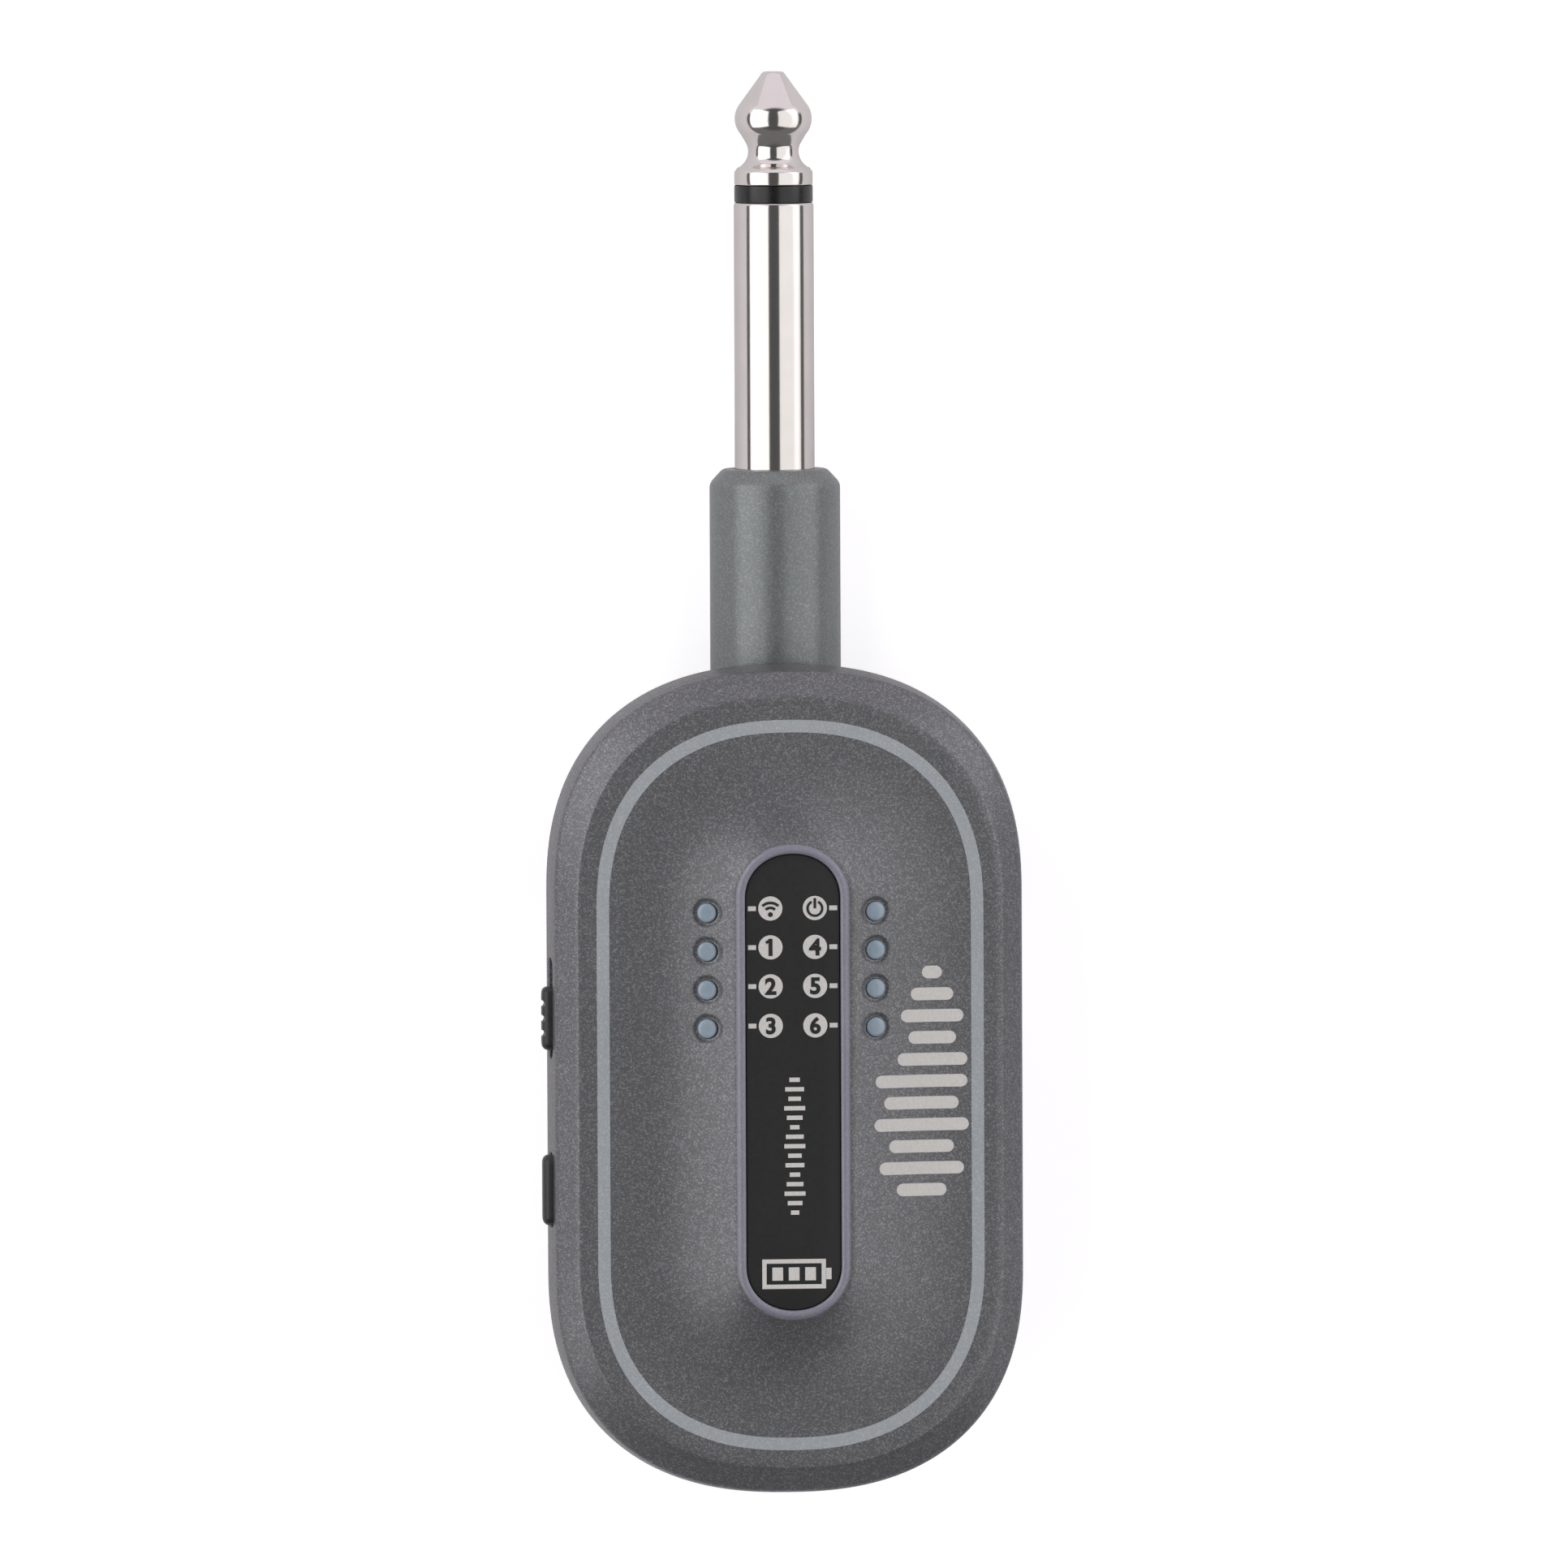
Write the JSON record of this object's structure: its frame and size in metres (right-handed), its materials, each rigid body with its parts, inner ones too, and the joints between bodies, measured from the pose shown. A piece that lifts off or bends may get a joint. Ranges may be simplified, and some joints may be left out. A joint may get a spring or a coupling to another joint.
{
  "type": "wireless guitar plug-in unit",
  "caption": "Oval plug-in unit of a wireless guitar set: crowned grey case with lights, power switch and channel button, on a swivelling 6.35 mm jack plug.",
  "frame": {"origin": "on the flat back, at the middle of the oval case", "axes": "+Y along the plug towards its tip, +Z out of the crowned front, +X to the right seen from the front"},
  "size_m": [0.0382, 0.1123, 0.0204],
  "materials": {
    "shell_paint": "satin metallic grey paint on moulded plastic",
    "arm_paint": "satin metallic grey paint, slightly greener",
    "plate_paint": "matt dark coated steel",
    "nickel": "bright nickel plate",
    "black_moulding": "black moulded plastic, semi gloss",
    "label_black": "black satin label",
    "lens": "grey-blue translucent polycarbonate",
    "board_green": "green solder mask",
    "chip_black": "moulded chip epoxy",
    "led_white": "white LED package",
    "ceramic": "ceramic",
    "component_tan": "ceramic chip parts",
    "tinned_steel": "tinned sheet steel",
    "steel": "plain steel",
    "black_steel": "black oxide steel",
    "brass": "turned brass",
    "nylon": "natural nylon",
    "battery_foil": "laminated battery pouch",
    "foam": "black foam",
    "wire_red": "red wire sleeve",
    "wire_black": "black wire sleeve",
    "silver_label": "blank silver polyester label"
  },
  "bodies": {
    "case": {"front_shell": "shell_paint", "rear_shell": "shell_paint", "pivot_plate": "plate_paint", "pivot_bush": "brass", "label_plate": "label_black", "light_guide_left": "lens", "light_guide_right": "lens", "main_board": "board_green", "indicator_leds": "led_white", "radio_shield": "tinned_steel", "chip_antenna": "ceramic", "processor_chip": "chip_black", "audio_chip": "chip_black", "timing_crystal": "steel", "small_components": "component_tan", "slide_switch_case": "tinned_steel", "tact_switch_case": "tinned_steel", "usb_shell": "tinned_steel", "usb_base": "black_moulding", "battery_cell": "battery_foil", "battery_pad": "foam", "battery_wire_red": "wire_red", "battery_wire_black": "wire_black", "battery_connector": "nylon", "shell_screws": "black_steel", "plate_screws": "steel", "board_screws": "steel", "rear_label": "silver_label", "board_lead": "wire_black"},
    "plug_arm": {"arm_housing": "arm_paint", "arm_cap": "arm_paint", "pivot_tube": "brass", "pivot_clip": "steel", "wave_washer": "steel", "friction_washer": "nylon", "plug_sleeve": "nickel", "plug_retainer": "nickel", "core_insulator": "black_moulding", "tip_insulator": "black_moulding", "plug_tip": "nickel", "tip_rod": "brass", "ground_lug": "tinned_steel", "tip_lug": "tinned_steel", "arm_lead": "wire_black", "ground_wire": "wire_black"},
    "power_knob": {"switch_knob": "black_moulding", "switch_lever": "black_moulding"},
    "channel_key": {"channel_button": "black_moulding", "tact_plunger": "black_moulding"}
  },
  "joints": [
    {"name": "plug_swivel", "type": "hinge", "parent": "case", "child": "plug_arm", "pos_m": [0, 0.021, 0.0064], "axis": [0, 0, 1], "range_deg": [-90, 90]},
    {"name": "power_slide", "type": "slide", "parent": "case", "child": "power_knob", "axis": [0, 1, 0], "range_m": [0, 0.0018]},
    {"name": "channel_press", "type": "slide", "parent": "case", "child": "channel_key", "axis": [1, 0, 0], "range_m": [0, 0.0003], "stiffness_N_per_m": 800}
  ]
}
